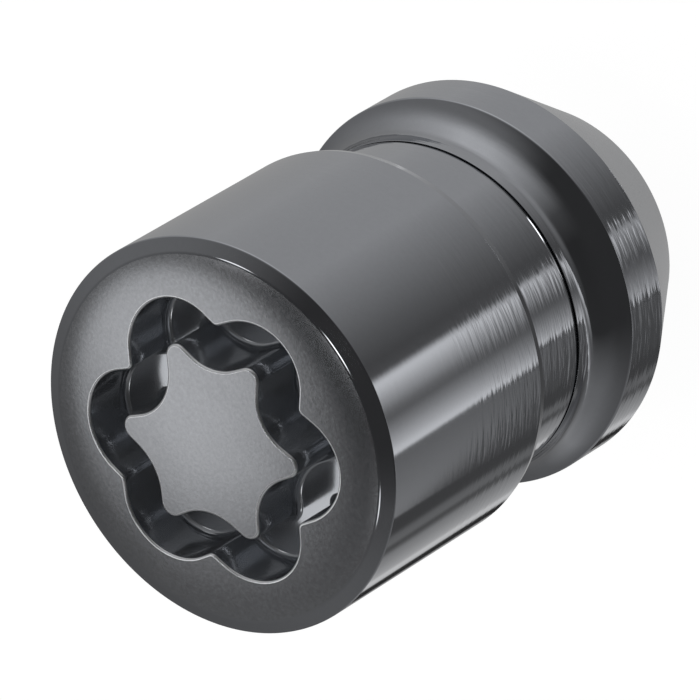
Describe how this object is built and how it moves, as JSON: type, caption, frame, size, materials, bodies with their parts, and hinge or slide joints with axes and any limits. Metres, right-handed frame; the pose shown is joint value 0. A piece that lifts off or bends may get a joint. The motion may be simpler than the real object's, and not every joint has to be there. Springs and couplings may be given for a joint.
{
  "type": "locking wheel nut",
  "caption": "Closed locking wheel nut: round head with a wavy key groove, waisted neck, 60 degree cone seat and a blind threaded bore.",
  "frame": {"origin": "centre of the flat rear end, where the bore opens", "axes": "+Z along the bore axis, from the cone seat towards the head face"},
  "size_m": [0.022, 0.022, 0.0324],
  "materials": {
    "dark_plated_steel": "dark nickel-chrome plate, bright with fine turning marks"
  },
  "bodies": {
    "root": {"wheel_nut": "dark_plated_steel"}
  },
  "joints": []
}
